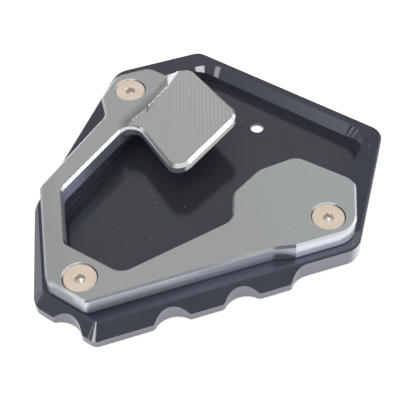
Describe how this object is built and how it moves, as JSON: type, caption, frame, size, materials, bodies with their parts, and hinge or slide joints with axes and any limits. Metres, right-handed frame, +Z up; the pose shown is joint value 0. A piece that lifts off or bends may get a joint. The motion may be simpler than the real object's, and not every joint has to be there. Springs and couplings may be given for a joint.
{
  "type": "kickstand foot enlarger",
  "caption": "Flat angular foot plate for a motorcycle side stand: a pocketed, scalloped base with a clamp plate screwed over the stand's foot, its tilted tab reaching over the pocket.",
  "frame": {"origin": "on the ground under the middle of the base plate's outline", "axes": "+X along the scalloped front edge towards the wide lobe of the clamp plate, +Y to the back, +Z up"},
  "size_m": [0.1242, 0.1054, 0.0168],
  "materials": {
    "dark_anodised": "milled and anodised dark grey, satin",
    "titanium_anodised": "blasted and anodised titanium grey, with bright milled chamfers",
    "screw_steel": "turned stainless steel, semi-gloss"
  },
  "bodies": {
    "root": {"base_plate": "dark_anodised", "clamp_plate": "titanium_anodised", "screw_rear": "screw_steel", "screw_front_left": "screw_steel", "screw_front_right": "screw_steel"}
  },
  "joints": []
}
